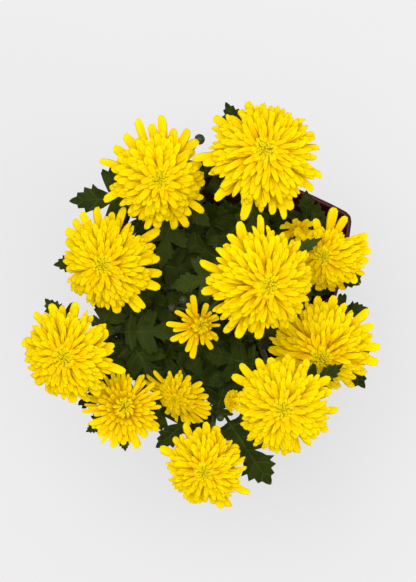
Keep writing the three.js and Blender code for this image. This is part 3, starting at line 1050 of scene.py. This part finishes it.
# %% The flat leaf
# Half of the outline, from the stalk's foot to the tip of a leaf of length 1: how far along, how far
# out, and where on the midrib the line that ends there begins.
OUTLINE = (
    (0.0, 0.014, 0.0), (0.09, 0.012, 0.09), (0.17, 0.016, 0.165),
    (0.18, 0.06, 0.178), (0.175, 0.13, 0.195), (0.2, 0.2, 0.205), (0.235, 0.185, 0.215),
    (0.25, 0.25, 0.225), (0.29, 0.275, 0.235), (0.305, 0.225, 0.25), (0.35, 0.22, 0.26),
    (0.345, 0.16, 0.275), (0.33, 0.075, 0.29),
    (0.37, 0.14, 0.31), (0.4, 0.2, 0.33), (0.44, 0.27, 0.35), (0.475, 0.25, 0.37),
    (0.5, 0.31, 0.39), (0.55, 0.335, 0.405), (0.57, 0.29, 0.42), (0.63, 0.325, 0.44),
    (0.65, 0.27, 0.46), (0.63, 0.2, 0.48), (0.605, 0.13, 0.5), (0.575, 0.055, 0.52),
    (0.64, 0.095, 0.56), (0.69, 0.115, 0.6), (0.74, 0.17, 0.63), (0.755, 0.115, 0.67),
    (0.83, 0.14, 0.71), (0.84, 0.085, 0.76), (0.905, 0.085, 0.81), (0.915, 0.045, 0.86),
    (0.96, 0.03, 0.92), (1.0, 0.004, 0.98),
)


def flat_leaf(name):
    steps = len(OUTLINE) - 1
    select_nothing()
    bpy.ops.mesh.primitive_grid_add(x_subdivisions=steps, y_subdivisions=8, size=1)
    leaf = bpy.context.object
    leaf.name = name
    mesh = leaf.data
    mesh.uv_layers[0].name = "Leaf"
    for loop in mesh.loops:
        place = mesh.vertices[loop.vertex_index].co
        foot = OUTLINE[round((place.x + 0.5) * steps)][2]
        mesh.uv_layers["Leaf"].data[loop.index].uv = (foot, place.y + 0.5)
    mesh.uv_layers.new(name="Chance")
    for vertex in mesh.vertices:
        ahead, out, foot = OUTLINE[round((vertex.co.x + 0.5) * steps)]
        share = 2 * vertex.co.y
        pucker = 0.014 * math.sin(2 * math.pi * foot * VEINS_ALONG) * abs(share) * out / 0.3
        vertex.co = (foot + (ahead - foot) * abs(share), out * share, pucker)
    return leaf


FLAT_LEAF = flat_leaf("flat_leaf")
print("flat leaf faces", len(FLAT_LEAF.data.polygons))

# %% [markdown]
# Each leaf's solid says where it lies. Its length, heading and arch could be typed in, but they can be
# measured: the two vertices furthest apart are its ends, and the end with the narrower outline is the
# stalk's foot. A curve fitted through its heights gives its arch, once the fold of its two halves
# along the midrib is taken off.

# %% Measure a leaf
FOLD = 0.16
END_SHARE = 0.19


def leaf_pose(name):
    points = np.unique(corners_of(name).round(6), axis=0)
    spans = np.linalg.norm(points[:, None] - points[None], axis=2)
    first, second = np.unravel_index(spans.argmax(), spans.shape)
    ends = [points[first], points[second]]

    def spread(end, other):
        way = (other - end) / np.linalg.norm(other - end)
        along = (points - end) @ way
        near = points[along < END_SHARE * spans.max()]
        off = (near - end) - ((near - end) @ way)[:, None] * way
        return np.linalg.norm(off, axis=1).max()

    if spread(ends[0], ends[1]) > spread(ends[1], ends[0]):
        ends.reverse()
    base, tip = ends
    way = (tip - base)[:2]
    length = np.linalg.norm(way)
    way = way / length
    flat = (points - base)[:, :2]
    along = flat @ way
    out = np.abs(flat @ np.array([-way[1], way[0]]))
    height = (points - base)[:, 2] - FOLD * out
    fit = np.linalg.lstsq(np.stack([along, along ** 2], axis=1), height, rcond=None)[0]
    return base, math.atan2(way[1], way[0]), length, fit


# %% [markdown]
# A leaf is a copy of the flat one, bent to its solid. A Simple Deform modifier gives one plain arc, but
# a leaf also folds along its midrib, droops at its edges, ripples and leans to one side. A short sum
# for each vertex does all of it at once. A Solidify modifier then gives the leaf its thickness.

# %% Bend a leaf
LEAF_SHEET = 0.0007
EDGE_DROOP = 3.2


def bend_leaf(name, base, heading, length, arch, breadth=1.0):
    leaf = fresh_copy(FLAT_LEAF)
    leaf.name = name
    phase = rng.uniform(0, 6)
    broad = breadth * rng.uniform(0.95, 1.1)
    side_bend = rng.uniform(-0.05, 0.05)
    for vertex in leaf.data.vertices:
        x = vertex.co.x * length
        y = vertex.co.y * length * broad
        ripple = 0.1 * abs(y) * math.sin(phase + 15 * vertex.co.x + (2 if y > 0 else 0))
        droop = -EDGE_DROOP * y * y
        z = arch[0] * x + arch[1] * x * x + FOLD * abs(y) + ripple + droop + vertex.co.z * length
        y += side_bend * x * x / length
        vertex.co = (x, y, z)
    leaf.data.transform(Matrix.Translation(base) @ Matrix.Rotation(heading, 4, "Z"))
    chance = rng.random() ** 2
    leaf.data.uv_layers["Chance"].data.foreach_set("uv", [chance, 0] * len(leaf.data.loops))
    select_only(leaf)
    wall = leaf.modifiers.new("wall", "SOLIDIFY")
    wall.thickness = LEAF_SHEET
    wall.offset = 0
    bpy.ops.object.modifier_apply(modifier="wall")
    smooth(leaf)
    return leaf


# %% [markdown]
# Most leaves are as broad as the flat one. Four are given their own breadth, as a share of that.

# %% Make the leaves
BREADTH = {9: 0.6, 12: 0.85, 15: 0.75, 17: 1.22}
for number in range(1, 27):
    name = f"leaf_{number}"
    base, heading, length, arch = leaf_pose(name)
    leaf = bend_leaf(name + "_live", base, heading, length, arch, BREADTH.get(number, 1.0))
    finish_piece(leaf, LEAF_GREEN, "leaf", name)
    print(name, "length", round(float(length), 3), "heading", round(math.degrees(heading)))

# %% [markdown]
# More and smaller leaves fill the middle of the bunch, lower down. They could be scattered by chance,
# but some would then show in front of a bloom. Each is listed instead, by its stem, its height in mm,
# its heading, its length in mm and the slope at its stalk, and it starts at the stem's skin.

# %% Filling leaves
STEM_SKIN = 0.0026
FILLING = (
    (1, 262, -40, 52, 14), (1, 225, -130, 58, 20), (1, 214, 95, 50, 24), (2, 226, -160, 60, 18),
    (2, 222, -50, 60, 18), (2, 262, -95, 46, 16), (3, 244, -12, 60, 14), (3, 256, 95, 50, 14),
    (3, 215, -40, 60, 20), (4, 262, -170, 64, 12), (4, 222, 205, 66, 18), (4, 232, 75, 60, 18),
    (4, 238, -75, 60, 18), (4, 252, 110, 62, 12), (5, 236, -100, 54, 20), (5, 222, 120, 54, 22),
    (6, 226, 100, 54, 24), (6, 222, -70, 50, 24), (7, 250, 165, 60, 14), (7, 226, 95, 60, 20),
    (7, 258, 235, 50, 12), (7, 210, 180, 60, 22), (8, 212, 100, 56, 26), (8, 226, 40, 50, 22),
    (8, 210, 190, 60, 26), (9, 220, 60, 56, 24), (9, 226, -70, 50, 20), (9, 252, 60, 50, 12),
    (10, 214, 60, 56, 28), (10, 222, 120, 56, 24), (10, 218, -20, 50, 24), (3, 232, 10, 62, 18),
    (10, 205, 5, 62, 30), (10, 200, 35, 60, 34), (10, 228, -2, 58, 20), (8, 205, 150, 50, 30),
    (8, 204, 60, 60, 30), (8, 222, 170, 46, 24), (8, 236, 75, 50, 16), (8, 198, 120, 60, 36),
    (7, 206, 220, 60, 26), (7, 200, 140, 60, 30), (9, 210, 20, 60, 26), (9, 226, 30, 60, 18),
    (9, 240, 45, 56, 14), (1, 206, -60, 60, 26), (5, 226, 10, 50, 22), (6, 212, 50, 60, 26),
    (6, 214, 150, 60, 24), (2, 210, -10, 58, 24), (9, 232, -55, 66, 10), (9, 222, -80, 66, 14),
    (10, 228, 150, 56, 14), (10, 218, 170, 62, 16), (10, 208, 100, 66, 24), (10, 204, 150, 76, 22),
    (8, 204, 185, 75, 24), (8, 214, 160, 66, 20), (8, 200, 215, 66, 26), (8, 226, 115, 56, 14),
    (7, 215, 200, 66, 18), (8, 222, 225, 45, 10), (9, 230, -95, 50, 8), (5, 230, 88, 52, 14),
    (9, 222, 205, 52, 8),
)
for number, (stem, height, heading, length, slope) in enumerate(FILLING, start=1):
    turn = math.radians(heading)
    length /= 1000
    start = centre_at(f"stem_{stem}", height / 1000)
    start += STEM_SKIN * Vector((math.cos(turn), math.sin(turn), 0))
    rise = math.tan(math.radians(slope))
    arch = (rise, -rise * 0.9 / length)
    leaf = bend_leaf(f"filling_leaf_{number}", start, turn, length, arch)
    finish_piece(leaf, LEAF_GREEN, "leaf")
bpy.data.objects.remove(FLAT_LEAF)
print("filling leaves", len(FILLING))

# %% [markdown]
# ## The jar
# The jar is square at the mouth, with bowed, flared walls and a round lip. Its solid has that shape in
# flat facets, so it needn't be modelled again. A copy of it is merged into one skin, its triangles are
# paired into quads, and a subdivision surface rounds it, with its sharp edges creased to hold them.

# %% The glazed jar
ROUNDING_LEVELS = 2


def rounded_copy(name, new_name):
    piece = fresh_copy(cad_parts[name])
    piece.name = new_name
    select_only(piece)
    bpy.ops.object.mode_set(mode="EDIT")
    bpy.ops.mesh.select_all(action="SELECT")
    bpy.ops.mesh.remove_doubles(threshold=0.00001)
    bpy.ops.mesh.tris_convert_to_quads(face_threshold=0.7, shape_threshold=1.2)
    bpy.ops.mesh.select_all(action="DESELECT")
    bpy.ops.mesh.edges_select_sharp(sharpness=math.radians(35))
    bpy.ops.transform.edge_crease(value=0.7)
    bpy.ops.object.mode_set(mode="OBJECT")
    surface = piece.modifiers.new("rounding", "SUBSURF")
    surface.levels = ROUNDING_LEVELS
    surface.render_levels = ROUNDING_LEVELS
    bpy.ops.object.modifier_apply(modifier="rounding")
    smooth(piece)
    return piece


jar = rounded_copy("jar", "glazed_jar")
finish_piece(jar, OXBLOOD, "jar_glaze", "jar")
print("jar faces", len(jar.data.polygons))

# %% [markdown]
# ## The water
# Still water has a flat top and fits the jar and the stems, and its solid does that already. A new
# piece would add nothing, so the solid stays and only gets its finish.

# %% The water in the jar
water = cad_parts["water"]
water.data.materials.clear()
water.data.materials.append(WATER)

# %% [markdown]
# ## The table
# The table is plain and almost white. Lamps alone would leave a dark shadow on it, so it gives off a
# little light of its own, and the soft shadow under the bunch stays faint.

# %% The table
select_nothing()
bpy.ops.mesh.primitive_plane_add(size=8, location=(0, 0, 0))
table = bpy.context.object
table.name = "table"
material, tree, shader = new_finish("table_white", 0.9)
shader.inputs["Base Color"].default_value = (0.25, 0.25, 0.25, 1)
shader.inputs["Emission Color"].default_value = (0.98, 0.965, 0.975, 1)
shader.inputs["Emission Strength"].default_value = 0.51
table.data.materials.append(material)

# %% [markdown]
# ## The light
# The bunch stands in soft even daylight. A single sun would cut hard shadows between the petals, so the
# room itself is bright, a broad lamp hangs overhead, and a weaker one at the side shapes the blooms.

# %% Room and lamps
world = bpy.data.worlds.new("room")
bpy.context.scene.world = world
world.use_nodes = True
world.node_tree.nodes["Background"].inputs[0].default_value = (1, 1, 1, 1)
world.node_tree.nodes["Background"].inputs[1].default_value = 0.84


def lamp(name, place, size, power):
    bpy.ops.object.light_add(type="AREA", location=place)
    light = bpy.context.object
    light.name = name
    light.data.size = size
    light.data.energy = power
    light.rotation_euler = (Vector((0, 0, 0.2)) - Vector(place)).to_track_quat("-Z", "Y").to_euler()


lamp("overhead", place=(-0.3, 0.5, 2.6), size=1.8, power=42)
lamp("side", place=(1.6, -0.6, 1.7), size=1.4, power=12)
bpy.context.scene.view_settings.view_transform = "Standard"
bpy.context.scene.view_settings.look = "None"
